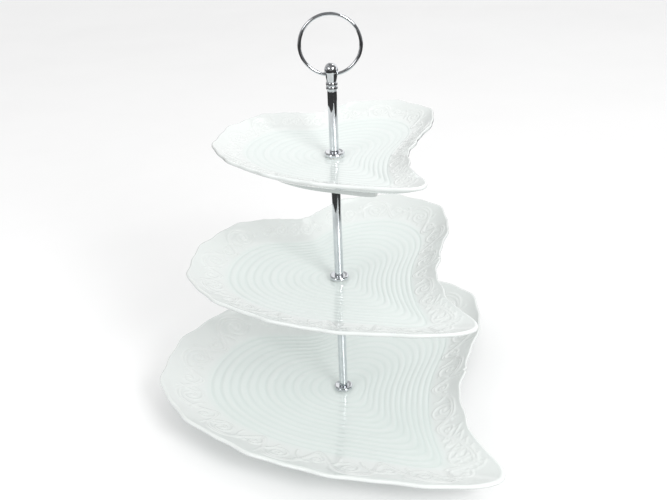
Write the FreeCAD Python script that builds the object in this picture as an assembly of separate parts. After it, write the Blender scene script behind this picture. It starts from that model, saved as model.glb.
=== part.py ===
"""Three-tier cake stand: heart-shaped porcelain plates on a chromed centre post.

Millimetres, +Z up. The origin is on the post's axis, in the plane of the bottom
plate's foot ring. Every piece is written to parts/NODE.step.
"""
import FreeCAD, Part
import math
import os

# ---------------------------------------------------------------- plates
TIERS = ("bottom", "middle", "top")
PLATE_DEPTH = {"bottom": 358.0, "middle": 281.0, "top": 215.0}  # front edge to back lobe
PLATE_TURN = {"bottom": -6.0, "middle": -2.0, "top": -10.0}  # degrees about the post
WELL_RISE = {"bottom": 8.2, "middle": 6.4, "top": 4.9}  # well's edge above its centre
RIM_RISE = {"bottom": 25.4, "middle": 20.0, "top": 15.3}  # rim's edge above the well's centre
PLATE_WALL = 5.5
RIM_WALL = 3.4  # thickness of the lip
FOOT_HEIGHT = 6.5  # foot ring below the plate's flat underside
FOOT_SHARE = 0.76  # foot's centre line, as a share of the well's outline
FOOT_WIDTH = 5.0
FOOT_GRIND = 1.0  # taken off the foot ring's end, so that it stands flat
HUB_FLAT = 11.0  # radius of the flat round the hole, where the fittings clamp
TIER_PITCH = 119.5  # from one well's centre to the next

# Outline of a plate, in per cent of its depth, about the post's axis:
# (rim x, rim y, well x, well y), counter-clockwise from the right flank.
OUTLINE = (
    (32.3, 0.0, 23.2, 0.0),
    (37.6, 28.0, 27.4, 20.6),
    (33.8, 43.4, 24.6, 32.4),
    (21.0, 52.0, 15.2, 38.4),
    (5.8, 51.8, 4.2, 35.8),
    (-5.9, 42.2, -4.2, 29.6),
    (-13.2, 33.6, -9.4, 23.0),
    (-23.8, 33.6, -17.2, 21.6),
    (-37.2, 29.0, -26.8, 20.2),
    (-45.9, 15.0, -33.8, 11.1),
    (-48.4, -2.2, -35.6, -1.6),
    (-41.8, -18.9, -30.6, -13.6),
    (-14.4, -39.3, -10.4, -27.4),
    (16.8, -46.4, 10.9, -32.8),
    (39.6, -43.8, 25.2, -34.2),
    (34.2, -29.0, 24.2, -25.0),
)
OUTLINE_POWER = 0.7  # spacing of the curve's parameters: chord length to this power

# ---------------------------------------------------------------- metal fittings
STUD_RADIUS = 2.0
THREAD_CLEARANCE = 0.05
TURNING_CLEARANCE = 0.5  # between a stud and the plate that turns round it
STUD_ENGAGEMENT = 10.0  # length of a stud inside each post
POST_RADIUS = 4.0
UPPER_POST_LENGTH = 56.0
PAD_RADIUS = 7.0
PAD_THICKNESS = 0.8
FLANGE_RADIUS = 8.75
FLANGE_HEIGHT = 3.6
FLANGE_FLOOR = 1.4  # metal under the post's end
SEAT_CLEARANCE = 0.1  # round the post's end in the flange
CREST_RADIUS = 6.7  # flange's highest circle
UNDER_WASHER_RADIUS = 8.0
UNDER_WASHER_THICKNESS = 1.2
BASE_PAD_RADIUS = 9.0
BASE_WASHER_RADIUS = 10.0
BASE_WASHER_THICKNESS = 1.4
SCREW_HEAD_RADIUS = 5.5
SCREW_HEAD_HEIGHT = 2.4
RECESS_LENGTH = 5.6  # of the screw's cross recess
RECESS_WIDTH = 1.2
RECESS_DEPTH = 1.3

# ---------------------------------------------------------------- finial and ring
HEAD_RADIUS = 5.5
HEAD_WAIST_RADIUS = 4.4
BEAD_RADIUS = 5.1
BEAD_HEIGHT = 3.4
BEAD_GROOVE_RADIUS = 4.3
HEAD_FOOT_HEIGHT = 1.0
WAIST_HEIGHT = 6.2  # from the upper bead to the cross bore's axis
CROWN_HEIGHT = 4.4  # from the cross bore's axis to the start of the dome
HEAD_STUD_DEPTH = 6.5
RING_RADIUS = 25.3  # to the middle of the wire
WIRE_RADIUS = 1.5
WIRE_CLEARANCE = 0.1
RING_JOINT_GAP = 0.3  # between the ring's two ends, inside the cross bore

AXIS = FreeCAD.Vector(0, 0, 1)
STUD_BORE_RADIUS = STUD_RADIUS + THREAD_CLEARANCE
PLATE_HOLE_RADIUS = STUD_RADIUS + TURNING_CLEARANCE


def well_level(tier):
    """Height of the centre of a plate's well above the ground."""
    return FOOT_HEIGHT + PLATE_WALL + TIER_PITCH * TIERS.index(tier)


def vector(x, y, z=0.0):
    return FreeCAD.Vector(x, y, z)


def disc(radius, low, high):
    return Part.makeCylinder(radius, high - low, vector(0, 0, low), AXIS)


def washer(radius, hole_radius, low, high, edge=0.0):
    """A flat ring with its outer edges rounded by edge."""
    ring = disc(radius, low, high)
    if edge:
        ring = ring.makeFillet(edge, [e for e in ring.Edges if e.Length > radius])
    return ring.cut(disc(hole_radius, low - 1, high + 1))


def turned(profile):
    """A solid of revolution about the post's axis from a closed list of edges."""
    face = Part.Face(Part.Wire(profile))
    return face.revolve(vector(0, 0), AXIS, 360)


def line(r1, z1, r2, z2):
    return Part.LineSegment(vector(r1, 0, z1), vector(r2, 0, z2)).toShape()


def arc(r1, z1, r2, z2, r3, z3):
    return Part.Arc(vector(r1, 0, z1), vector(r2, 0, z2), vector(r3, 0, z3)).toShape()


# ---------------------------------------------------------------- plates

def outline_parameters():
    """Shared curve parameters, so that all sections of a plate run in step."""
    values = [0.0]
    count = len(OUTLINE)
    for i in range(count):
        here = OUTLINE[i]
        following = OUTLINE[(i + 1) % count]
        chord = math.hypot(following[0] - here[0], following[1] - here[1])
        values.append(values[-1] + chord ** OUTLINE_POWER)
    return values


PARAMETERS = outline_parameters()


def section(points):
    """A closed smooth curve through one point for each point of the outline."""
    curve = Part.BSplineCurve()
    curve.interpolate(Points=points, PeriodicFlag=True, Parameters=PARAMETERS)
    return Part.Wire(curve.toShape())


def heart(tier, share, z):
    """Section of a plate: 0 to 1 grows the well, 1 to 2 blends it into the rim."""
    scale = PLATE_DEPTH[tier] / 100.0
    blend = max(share - 1.0, 0.0)
    size = min(share, 1.0)
    points = []
    for rim_x, rim_y, well_x, well_y in OUTLINE:
        x = size * (well_x + blend * (rim_x - well_x))
        y = size * (well_y + blend * (rim_y - well_y))
        points.append(vector(scale * x, scale * y, z))
    return section(points)


def hub(radius, z):
    """Round section in step with the outline, at the edge of the clamped flat."""
    points = []
    for _, _, well_x, well_y in OUTLINE:
        length = math.hypot(well_x, well_y)
        points.append(vector(radius * well_x / length, radius * well_y / length, z))
    return section(points)


def dish_height(tier, share):
    """Height of a plate's upper face above its centre, bowl first and then rim."""
    if share <= 1.0:
        return WELL_RISE[tier] * share ** 2
    climb = RIM_RISE[tier] - WELL_RISE[tier]
    blend = share - 1.0
    return WELL_RISE[tier] + climb * (0.4 * blend + 0.6 * blend ** 2)


def rim_step(tier):
    """Change of share that covers the lip's thickness where the rim is narrowest."""
    scale = PLATE_DEPTH[tier] / 100.0
    widths = [math.hypot(rx - wx, ry - wy) * scale for rx, ry, wx, wy in OUTLINE]
    return RIM_WALL / min(widths)


def foot_step(tier):
    """Change of share across half of the foot ring's width."""
    radii = [math.hypot(wx, wy) for _, _, wx, wy in OUTLINE]
    mean = sum(radii) / len(radii) * PLATE_DEPTH[tier] / 100.0
    return FOOT_WIDTH / 2.0 / mean


def make_plate(tier):
    """Dished plate with an upswept rim, a rounded lip, a foot ring and a hole."""
    base = well_level(tier)
    lip = rim_step(tier)
    half_foot = foot_step(tier)
    lip_round = RIM_WALL / 4.0

    def top(share):
        return base + dish_height(tier, share)

    def under(share):
        wall = PLATE_WALL
        if share > 1.0:
            wall = PLATE_WALL + (share - 1.0) * (RIM_WALL - PLATE_WALL)
        return top(share) - wall

    edge = top(2.0)
    ground = base - PLATE_WALL - FOOT_HEIGHT
    foot_in = FOOT_SHARE - half_foot
    foot_out = FOOT_SHARE + half_foot
    sections = [hub(HUB_FLAT, base)]
    sections += [heart(tier, share, top(share)) for share in (0.45, 0.65, 0.8, 1.0, 1.3, 1.6)]
    sections += [
        heart(tier, 2.0 - lip, edge - lip_round / 2.0),
        heart(tier, 2.0 - lip * 0.6, edge),
        heart(tier, 2.0 - lip * 0.2, edge - lip_round / 2.0),
        heart(tier, 2.0, edge - lip_round * 2.0),
        heart(tier, 2.0 - lip * 0.3, edge - RIM_WALL),
    ]
    sections += [heart(tier, share, under(share)) for share in (1.6, 1.3, 1.0, foot_out)]
    sections += [
        heart(tier, foot_out - half_foot / 4.0, ground - FOOT_GRIND),
        heart(tier, foot_in + half_foot / 4.0, ground - FOOT_GRIND),
        heart(tier, foot_in, under(foot_in)),
        heart(tier, 0.45, under(0.45)),
        hub(HUB_FLAT, base - PLATE_WALL),
    ]
    plate = Part.makeLoft(sections, True, True)
    if plate.Volume < 0:
        plate.reverse()
    plate = plate.cut(disc(PLATE_DEPTH[tier], ground - 2.0 * FOOT_GRIND, ground))
    plate = plate.cut(disc(PLATE_HOLE_RADIUS, ground - 1, edge + 1))
    plate.rotate(vector(0, 0), AXIS, PLATE_TURN[tier])
    return plate


# ---------------------------------------------------------------- fittings at a plate

def make_pad_above(tier):
    low = well_level(tier)
    return washer(PAD_RADIUS, PLATE_HOLE_RADIUS, low, low + PAD_THICKNESS)


def flange_base(tier):
    return well_level(tier) + PAD_THICKNESS


def post_foot(tier):
    """Where the post above a plate stands, inside its flange."""
    return flange_base(tier) + FLANGE_FLOOR


def make_flange(tier):
    """Rounded flange with a shallow dish that the post stands in."""
    low = flange_base(tier)
    high = low + FLANGE_HEIGHT
    seat = POST_RADIUS + SEAT_CLEARANCE
    floor = low + FLANGE_FLOOR
    belly = low + FLANGE_HEIGHT * 0.4
    lip = floor + 0.9
    foot = FLANGE_RADIUS - 0.9
    profile = [
        line(STUD_BORE_RADIUS, low, foot, low),
        arc(foot, low, FLANGE_RADIUS, belly, CREST_RADIUS, high),
        arc(CREST_RADIUS, high, (CREST_RADIUS + seat) / 2.0, high - 0.5, seat + 0.3, lip),
        line(seat + 0.3, lip, seat, lip),
        line(seat, lip, seat, floor),
        line(seat, floor, STUD_BORE_RADIUS, floor),
        line(STUD_BORE_RADIUS, floor, STUD_BORE_RADIUS, low),
    ]
    return turned(profile)


def make_pad_below(tier):
    high = well_level(tier) - PLATE_WALL
    return washer(PAD_RADIUS, PLATE_HOLE_RADIUS, high - PAD_THICKNESS, high)


def make_under_washer(tier):
    high = well_level(tier) - PLATE_WALL - PAD_THICKNESS
    low = high - UNDER_WASHER_THICKNESS
    return washer(UNDER_WASHER_RADIUS, STUD_BORE_RADIUS, low, high, 0.4)


def post_head(tier):
    """Where the post below a plate ends, under its washer."""
    return well_level(tier) - PLATE_WALL - PAD_THICKNESS - UNDER_WASHER_THICKNESS


def make_post(low, high):
    return washer(POST_RADIUS, STUD_BORE_RADIUS, low, high)


def make_stud(low, high):
    stud = disc(STUD_RADIUS, low, high)
    return stud.makeChamfer(0.4, [e for e in stud.Edges if e.Curve.TypeId == "Part::GeomCircle"])


# ---------------------------------------------------------------- fittings under the stand

def make_base_pad():
    high = FOOT_HEIGHT
    return washer(BASE_PAD_RADIUS, PLATE_HOLE_RADIUS, high - PAD_THICKNESS, high)


def make_base_washer():
    high = FOOT_HEIGHT - PAD_THICKNESS
    return washer(BASE_WASHER_RADIUS, STUD_BORE_RADIUS, high - BASE_WASHER_THICKNESS, high, 0.4)


def make_base_screw():
    """Pan-head screw with a cross recess, clear of the ground."""
    seat = FOOT_HEIGHT - PAD_THICKNESS - BASE_WASHER_THICKNESS
    low = seat - SCREW_HEAD_HEIGHT
    side = seat - SCREW_HEAD_HEIGHT * 0.45
    shank_top = post_foot("bottom") + STUD_ENGAGEMENT
    profile = [
        line(0, low, SCREW_HEAD_RADIUS * 0.55, low),
        arc(SCREW_HEAD_RADIUS * 0.55, low, SCREW_HEAD_RADIUS * 0.87, low + 0.4, SCREW_HEAD_RADIUS, side),
        line(SCREW_HEAD_RADIUS, side, SCREW_HEAD_RADIUS, seat),
        line(SCREW_HEAD_RADIUS, seat, STUD_RADIUS, seat),
        line(STUD_RADIUS, seat, STUD_RADIUS, shank_top - 0.4),
        line(STUD_RADIUS, shank_top - 0.4, STUD_RADIUS - 0.4, shank_top),
        line(STUD_RADIUS - 0.4, shank_top, 0, shank_top),
        line(0, shank_top, 0, low),
    ]
    screw = turned(profile)
    half = RECESS_LENGTH / 2.0
    for turn in (0, 90):
        slot = Part.makeBox(
            RECESS_LENGTH, RECESS_WIDTH, RECESS_DEPTH + 1, vector(-half, -RECESS_WIDTH / 2.0, low - 1)
        )
        slot.rotate(vector(0, 0), AXIS, turn)
        screw = screw.cut(slot)
    return screw


# ---------------------------------------------------------------- finial

HEAD_BASE = post_foot("top") + UPPER_POST_LENGTH
BORE_LEVEL = HEAD_BASE + HEAD_FOOT_HEIGHT + 2.0 * BEAD_HEIGHT + WAIST_HEIGHT
# How far the ring's wire leaves a straight line inside the head
SAGITTA = RING_RADIUS - math.sqrt(RING_RADIUS ** 2 - HEAD_RADIUS ** 2)
CROSS_BORE_RADIUS = WIRE_RADIUS + SAGITTA / 2.0 + WIRE_CLEARANCE


def make_finial_head():
    """Domed head on a tapering waist and two beads, bored crosswise for the ring."""
    bead_low = HEAD_BASE + HEAD_FOOT_HEIGHT
    waist_low = bead_low + 2.0 * BEAD_HEIGHT
    dome_low = BORE_LEVEL + CROWN_HEIGHT
    dome_side = HEAD_RADIUS * math.sqrt(0.5)
    stud_top = HEAD_BASE + HEAD_STUD_DEPTH + 0.5
    profile = [
        line(STUD_BORE_RADIUS, HEAD_BASE, BEAD_GROOVE_RADIUS, HEAD_BASE),
        line(BEAD_GROOVE_RADIUS, HEAD_BASE, BEAD_GROOVE_RADIUS, bead_low),
    ]
    for low in (bead_low, bead_low + BEAD_HEIGHT):
        high = low + BEAD_HEIGHT
        profile.append(arc(BEAD_GROOVE_RADIUS, low, BEAD_RADIUS, (low + high) / 2.0, BEAD_GROOVE_RADIUS, high))
    profile += [
        line(BEAD_GROOVE_RADIUS, waist_low, HEAD_WAIST_RADIUS, waist_low + 0.4),
        line(HEAD_WAIST_RADIUS, waist_low + 0.4, HEAD_RADIUS, dome_low),
        arc(HEAD_RADIUS, dome_low, dome_side, dome_low + dome_side, 0, dome_low + HEAD_RADIUS),
        line(0, dome_low + HEAD_RADIUS, 0, stud_top),
        line(0, stud_top, STUD_BORE_RADIUS, stud_top),
        line(STUD_BORE_RADIUS, stud_top, STUD_BORE_RADIUS, HEAD_BASE),
    ]
    head = turned(profile)
    start = vector(-2 * HEAD_RADIUS, 0, BORE_LEVEL)
    return head.cut(Part.makeCylinder(CROSS_BORE_RADIUS, 4 * HEAD_RADIUS, start, vector(1, 0, 0)))


def make_carrying_ring():
    """Upright wire ring whose two ends meet inside the head's cross bore."""
    centre = vector(0, 0, BORE_LEVEL - SAGITTA / 2.0 + RING_RADIUS)
    half_gap = math.degrees(RING_JOINT_GAP / 2.0 / RING_RADIUS)
    wire = Part.Circle(vector(0, 0, centre.z - RING_RADIUS), vector(1, 0, 0), WIRE_RADIUS)
    face = Part.Face(Part.Wire(wire.toShape()))
    face.rotate(centre, vector(0, 1, 0), half_gap)
    return face.revolve(centre, vector(0, 1, 0), 360 - 2 * half_gap)


def make_parts():
    """Every piece of the stand, by node name, from the ground up."""
    parts = {}
    parts["base_screw"] = make_base_screw()
    parts["base_washer"] = make_base_washer()
    parts["base_pad"] = make_base_pad()
    for tier in TIERS:
        parts[tier + "_plate"] = make_plate(tier)
        parts[tier + "_flange_pad"] = make_pad_above(tier)
        parts[tier + "_flange"] = make_flange(tier)
    for tier in TIERS[1:]:
        parts[tier + "_under_pad"] = make_pad_below(tier)
        parts[tier + "_under_washer"] = make_under_washer(tier)
        low = post_head(tier) - STUD_ENGAGEMENT
        parts[tier + "_stud"] = make_stud(low, post_foot(tier) + STUD_ENGAGEMENT)
    parts["lower_post"] = make_post(post_foot("bottom"), post_head("middle"))
    parts["middle_post"] = make_post(post_foot("middle"), post_head("top"))
    parts["upper_post"] = make_post(post_foot("top"), HEAD_BASE)
    parts["finial_stud"] = make_stud(HEAD_BASE - STUD_ENGAGEMENT, HEAD_BASE + HEAD_STUD_DEPTH)
    parts["finial_head"] = make_finial_head()
    parts["carrying_ring"] = make_carrying_ring()
    return parts


def main():
    os.makedirs("parts", exist_ok=True)
    for name, shape in make_parts().items():
        shape.exportStep(os.path.join("parts", name + ".step"))
        box = shape.BoundBox
        print(f"{name:20s} valid={shape.isValid()} solids={len(shape.Solids)} volume={shape.Volume:.1f}"
              f" x={box.XMin:.1f}..{box.XMax:.1f} y={box.YMin:.1f}..{box.YMax:.1f}"
              f" z={box.ZMin:.2f}..{box.ZMax:.2f}")


main()
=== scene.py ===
"""Finished look of a three-tier cake stand.

Three glazed porcelain plates, each a curved heart with a raked well and a scrolled
rim, turn on a chromed post that carries a domed head and a wire ring handle.
Lengths in the dataclasses are millimetres; meshes are in metres.
"""

import logging
import math
from dataclasses import dataclass
from enum import Enum

import bpy
import numpy as np
from mathutils import Matrix, Vector


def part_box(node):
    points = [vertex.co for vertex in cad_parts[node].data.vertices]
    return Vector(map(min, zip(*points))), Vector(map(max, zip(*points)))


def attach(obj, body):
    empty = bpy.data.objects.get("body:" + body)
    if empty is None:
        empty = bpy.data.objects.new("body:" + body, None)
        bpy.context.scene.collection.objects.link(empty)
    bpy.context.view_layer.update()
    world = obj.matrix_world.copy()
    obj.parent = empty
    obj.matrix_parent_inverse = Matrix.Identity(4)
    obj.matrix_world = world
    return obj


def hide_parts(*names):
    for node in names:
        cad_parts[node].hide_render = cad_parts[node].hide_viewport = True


MM = 0.001
TURN = 2.0 * math.pi
AXIS_NEAR = 1e-6  # radius in millimetres under which a turned point is a pole
NOISE_LOW, NOISE_HIGH = 0.3, 0.7  # most of a noise's values lie between these
UNIT_SQUARE = ((-1, -1), (1, -1), (1, 1), (-1, 1))
Colour = tuple[float, float, float]
LOG = logging.getLogger("cake_stand")

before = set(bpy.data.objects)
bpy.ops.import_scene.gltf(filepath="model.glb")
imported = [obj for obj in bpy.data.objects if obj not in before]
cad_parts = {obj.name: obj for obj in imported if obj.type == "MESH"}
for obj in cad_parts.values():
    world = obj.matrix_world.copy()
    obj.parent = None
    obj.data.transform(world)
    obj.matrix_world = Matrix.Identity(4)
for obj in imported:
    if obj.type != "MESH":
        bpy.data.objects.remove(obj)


class Tier(Enum):
    """The plates, named as their frame nodes are."""

    BOTTOM = "bottom"
    MIDDLE = "middle"
    TOP = "top"


class Body(Enum):
    """The bodies of the frame; a plate's has the name of its tier."""

    BOTTOM = "bottom_plate_body"
    MIDDLE = "middle_plate_body"
    TOP = "top_plate_body"
    POST = "post"
    RING = "ring"


class Slot(Enum):
    """The record's material slots; no piece in this script uses them."""

    PORCELAIN = "porcelain"
    CHROME = "chrome"


# ---------------------------------------------------------------- finishes


class NodeBench:
    """Builds one node material; the shader's plain values are set on its own sockets."""

    def __init__(self, name: str, **plain: object) -> None:
        """Start a material.

        Args:
            name: the material's name.
            plain: Principled socket names, with _ for blank, and their values.
        """
        self.material = bpy.data.materials.new(name)
        self.material.use_nodes = True
        self.tree = self.material.node_tree
        self.shader = self.tree.nodes["Principled BSDF"]
        for key, value in plain.items():
            self.shader.inputs[key.replace("_", " ")].default_value = value
        self.place = self.add("ShaderNodeTexCoord").outputs["Object"]

    def add(self, kind: str, **settings: object) -> bpy.types.Node:
        """Add a node and set its properties.

        Args:
            kind: the node's type.
            settings: its properties and their values.

        Returns:
            The new node.
        """
        node = self.tree.nodes.new(kind)
        for key, value in settings.items():
            setattr(node, key, value)
        return node

    def join(self, start: bpy.types.NodeSocket, end: bpy.types.NodeSocket) -> None:
        """Link an output to an input."""
        self.tree.links.new(start, end)

    def stretched(self, scale: tuple[float, float, float]) -> bpy.types.NodeSocket:
        """Object coordinates multiplied along each axis.

        Args:
            scale: factors along X, Y and Z.

        Returns:
            The vector output.
        """
        mapping = self.add("ShaderNodeMapping")
        mapping.inputs["Scale"].default_value = scale
        self.join(self.place, mapping.inputs["Vector"])
        return mapping.outputs["Vector"]

    def noise(
        self, scale: float, detail: float = 3.0, vector: bpy.types.NodeSocket | None = None
    ) -> bpy.types.NodeSocket:
        """Noise of that many cells a metre.

        Args:
            scale: cells in a metre.
            detail: octaves.
            vector: coordinates, or None for the object's own.

        Returns:
            The factor output, about 0.5 on average.
        """
        node = self.add("ShaderNodeTexNoise")
        node.inputs["Scale"].default_value = scale
        node.inputs["Detail"].default_value = detail
        self.join(vector or self.place, node.inputs["Vector"])
        return node.outputs["Fac"]

    def ranged(self, source: bpy.types.NodeSocket, low: float, high: float) -> bpy.types.NodeSocket:
        """Spread the middle of a noise evenly over a range.

        Args:
            source: the noise.
            low: value where the noise is low.
            high: value where it is high.

        Returns:
            The spread value.
        """
        node = self.add("ShaderNodeMapRange")
        node.inputs["From Min"].default_value = NOISE_LOW
        node.inputs["From Max"].default_value = NOISE_HIGH
        node.inputs["To Min"].default_value = low
        node.inputs["To Max"].default_value = high
        self.join(source, node.inputs["Value"])
        return node.outputs["Result"]

    def blended(
        self, source: bpy.types.NodeSocket, stops: tuple[tuple[float, Colour], ...]
    ) -> bpy.types.NodeSocket:
        """Colour of a value by a ramp.

        Args:
            source: the value, 0 to 1.
            stops: places on the ramp and their colours.

        Returns:
            The colour output.
        """
        node = self.add("ShaderNodeValToRGB")
        elements = node.color_ramp.elements
        while len(elements) < len(stops):
            elements.new(0.5)
        for element, (place, colour) in zip(elements, stops):
            element.position = place
            element.color = (*colour, 1.0)
        self.join(source, node.inputs["Fac"])
        return node.outputs["Color"]

    def mottled(self, source: bpy.types.NodeSocket, dark: Colour, light: Colour) -> bpy.types.NodeSocket:
        """Two colours mixed by the middle of a noise."""
        return self.blended(source, ((NOISE_LOW, dark), (NOISE_HIGH, light)))

    def shaded(self, colour: bpy.types.NodeSocket, shade: bpy.types.NodeSocket) -> bpy.types.NodeSocket:
        """Multiply a colour by another.

        Args:
            colour: the colour.
            shade: what each channel is multiplied by.

        Returns:
            The product.
        """
        node = self.add("ShaderNodeMix", data_type="RGBA", blend_type="MULTIPLY")
        node.inputs["Factor"].default_value = 1.0
        self.join(colour, node.inputs["A"])
        self.join(shade, node.inputs["B"])
        return node.outputs["Result"]

    def colour(self, source: bpy.types.NodeSocket) -> None:
        """Send a colour to the shader."""
        self.join(source, self.shader.inputs["Base Color"])

    def roughness(self, source: bpy.types.NodeSocket) -> None:
        """Send a roughness to the shader."""
        self.join(source, self.shader.inputs["Roughness"])

    def bumps(self, *layers: tuple[bpy.types.NodeSocket, float]) -> None:
        """Stack bump layers on the shader's normal.

        Args:
            layers: a height output and its depth in metres, finest last.
        """
        below = None
        for height, depth in layers:
            bump = self.add("ShaderNodeBump")
            bump.inputs["Distance"].default_value = depth
            bump.inputs["Strength"].default_value = 1.0
            self.join(height, bump.inputs["Height"])
            if below is not None:
                self.join(below, bump.inputs["Normal"])
            below = bump.outputs["Normal"]
        self.join(below, self.shader.inputs["Normal"])


@dataclass(frozen=True)
class PorcelainGlaze:
    """White body under a clear, faintly cool glaze, with painted shade in the well's raked grooves and
    painted highlight on the scroll tops and the lip.
    """

    # painted highlight: the colour of the scroll tops; the lip takes part of it
    high: Colour = (0.83, 0.852, 0.840)
    band: Colour = (0.800, 0.828, 0.815)
    well: Colour = (0.778, 0.830, 0.812)
    # painted shade: the colour of the raked grooves in the well
    painted_groove_shade: Colour = (0.740, 0.803, 0.782)
    cloud: Colour = (0.975, 0.985, 0.98)
    clear: Colour = (1.0, 1.0, 1.0)

    def material(self) -> bpy.types.Material:
        """Colour by each plate's own relief attribute: painted shade where it is low, painted highlight
        where it is high; then faint clouds and orange-peel.

        Returns:
            The glaze's material.
        """
        bench = NodeBench(
            "porcelain_glaze", IOR=1.52, Coat_Weight=0.35, Coat_Roughness=0.05, Specular_IOR_Level=0.5
        )
        relief = bench.add("ShaderNodeAttribute", attribute_name="relief").outputs["Fac"]
        # the ramp paints light by the relief: shade in the raked grooves, highlight on the scroll tops and
        # the lip
        stops = ((0.0, self.painted_groove_shade), (0.40, self.well), (0.60, self.band), (1.0, self.high))
        clouds = bench.mottled(bench.noise(14.0), self.cloud, self.clear)
        bench.colour(bench.shaded(bench.blended(relief, stops), clouds))
        bench.roughness(bench.ranged(bench.noise(55.0), 0.09, 0.16))
        bench.bumps((bench.noise(160.0, 2.0), 0.00005), (bench.noise(900.0, 1.0), 0.000008))
        return bench.material


@dataclass(frozen=True)
class ChromePlate:
    """Bright plating with polish haze, fine wiping marks and soft handling smears."""

    bright: Colour = (0.79, 0.805, 0.83)
    dull: Colour = (0.67, 0.69, 0.72)

    def material(self) -> bpy.types.Material:
        """Colour and roughness by one smear; wiping marks run along the post.

        Returns:
            The plating's material.
        """
        bench = NodeBench("chrome_plate", Metallic=1.0)
        smear = bench.noise(90.0, 5.0)
        bench.colour(bench.blended(smear, ((0.35, self.dull), (0.62, self.bright))))
        bench.roughness(bench.ranged(smear, 0.11, 0.045))
        wiped = bench.noise(1.0, 4.0, bench.stretched((900.0, 900.0, 90.0)))
        bench.bumps((wiped, 0.000004))
        return bench.material


@dataclass(frozen=True)
class TurnedSteel:
    """Plain steel with lathe marks round the post's axis."""

    light: Colour = (0.66, 0.67, 0.69)
    dark: Colour = (0.42, 0.43, 0.45)

    def material(self) -> bpy.types.Material:
        """Colour, roughness and bumps by one noise, pressed flat into thin layers.

        Returns:
            The steel's material.
        """
        bench = NodeBench("turned_steel", Metallic=1.0)
        marks = bench.noise(1.0, 5.0, bench.stretched((300.0, 300.0, 5000.0)))
        bench.colour(bench.mottled(marks, self.dark, self.light))
        bench.roughness(bench.ranged(marks, 0.42, 0.24))
        bench.bumps((marks, 0.00002))
        return bench.material


@dataclass(frozen=True)
class SoftPad:
    """Milky cushioning rubber with a matt, slightly pitted skin."""

    light: Colour = (0.80, 0.80, 0.77)
    dark: Colour = (0.66, 0.66, 0.63)

    def material(self) -> bpy.types.Material:
        """Clouded colour under a fine pitted skin.

        Returns:
            The rubber's material.
        """
        bench = NodeBench("soft_pad", Specular_IOR_Level=0.3)
        skin = bench.noise(1400.0, 4.0)
        bench.colour(bench.mottled(bench.noise(260.0), self.dark, self.light))
        bench.roughness(bench.ranged(skin, 0.62, 0.85))
        bench.bumps((skin, 0.00006))
        return bench.material


@dataclass(frozen=True)
class PaleFloor:
    """Matt paper sweep under the stand."""

    light: Colour = (0.985, 0.985, 0.985)
    dark: Colour = (0.97, 0.97, 0.97)

    def material(self) -> bpy.types.Material:
        """Nearly even white with a dry, uneven sheen.

        Returns:
            The floor's material.
        """
        bench = NodeBench("pale_floor", Specular_IOR_Level=0.1)
        bench.colour(bench.mottled(bench.noise(6.0), self.dark, self.light))
        bench.roughness(bench.ranged(bench.noise(30.0), 0.8, 0.95))
        return bench.material


# ---------------------------------------------------------------- meshes


@dataclass
class Skin:
    """A mesh under construction: corners, triangles and quads as whole arrays."""

    corners: np.ndarray
    quads: np.ndarray
    triangles: np.ndarray

    @staticmethod
    def of_rings(rings: list[np.ndarray], closed: bool) -> "Skin":
        """Cover a row of closed rings with faces.

        Neighbouring rings have the same count, or one has twice the other's; then each
        long edge of the coarse ring faces two short edges through three triangles. A
        ring of one point is a pole, and its neighbour's edges fan to it.

        Args:
            rings: arrays of points in metres, listed so that the faces point outwards
                when a ring runs counter-clockwise and the row leads from the axis
                over the upper face.
            closed: the last ring joins the first again.

        Returns:
            The covered surface.
        """
        starts = np.cumsum([0] + [len(ring) for ring in rings])
        quads, triangles = [], []
        last = len(rings) if closed else len(rings) - 1
        for row in range(last):
            after = (row + 1) % len(rings)
            inner = starts[row] + np.arange(len(rings[row]))
            outer = starts[after] + np.arange(len(rings[after]))
            inner_next, outer_next = np.roll(inner, -1), np.roll(outer, -1)
            if len(inner) == len(outer):
                quads.append(np.stack([inner, outer, outer_next, inner_next], 1))
            elif len(inner) == 1:
                triangles.append(np.stack([inner.repeat(len(outer)), outer, outer_next], 1))
            elif len(outer) == 1:
                triangles.append(np.stack([inner, outer.repeat(len(inner)), inner_next], 1))
            elif len(outer) == 2 * len(inner):
                even, odd, even_next = outer[0::2], outer[1::2], np.roll(outer[0::2], -1)
                triangles.append(np.stack([inner, even, odd], 1))
                triangles.append(np.stack([inner, odd, inner_next], 1))
                triangles.append(np.stack([inner_next, odd, even_next], 1))
            else:
                even, odd, even_next = inner[0::2], inner[1::2], np.roll(inner[0::2], -1)
                triangles.append(np.stack([even, outer, odd], 1))
                triangles.append(np.stack([odd, outer, outer_next], 1))
                triangles.append(np.stack([odd, outer_next, even_next], 1))
        return Skin(
            np.concatenate(rings),
            np.concatenate(quads),
            np.concatenate(triangles) if triangles else np.zeros((0, 3), int),
        )

    def build(self, name: str, material: bpy.types.Material) -> bpy.types.Object:
        """Put the arrays into a smooth mesh object at the origin.

        Args:
            name: the piece's name.
            material: its finish.

        Returns:
            The linked object.
        """
        mesh = bpy.data.meshes.new(name)
        mesh.vertices.add(len(self.corners))
        mesh.vertices.foreach_set("co", self.corners.astype(np.float32).ravel())
        corner_ids = np.concatenate([self.quads.ravel(), self.triangles.ravel()])
        sizes = np.concatenate([np.full(len(self.quads), 4), np.full(len(self.triangles), 3)])
        starts = np.concatenate([[0], np.cumsum(sizes)[:-1]])
        mesh.loops.add(len(corner_ids))
        mesh.loops.foreach_set("vertex_index", corner_ids.astype(np.int32))
        mesh.polygons.add(len(sizes))
        mesh.polygons.foreach_set("loop_start", starts.astype(np.int32))
        mesh.polygons.foreach_set("use_smooth", np.ones(len(sizes), bool))
        mesh.update(calc_edges=True)
        mesh.validate()
        mesh.materials.append(material)
        piece = bpy.data.objects.new(name, mesh)
        bpy.context.scene.collection.objects.link(piece)
        return piece


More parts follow.
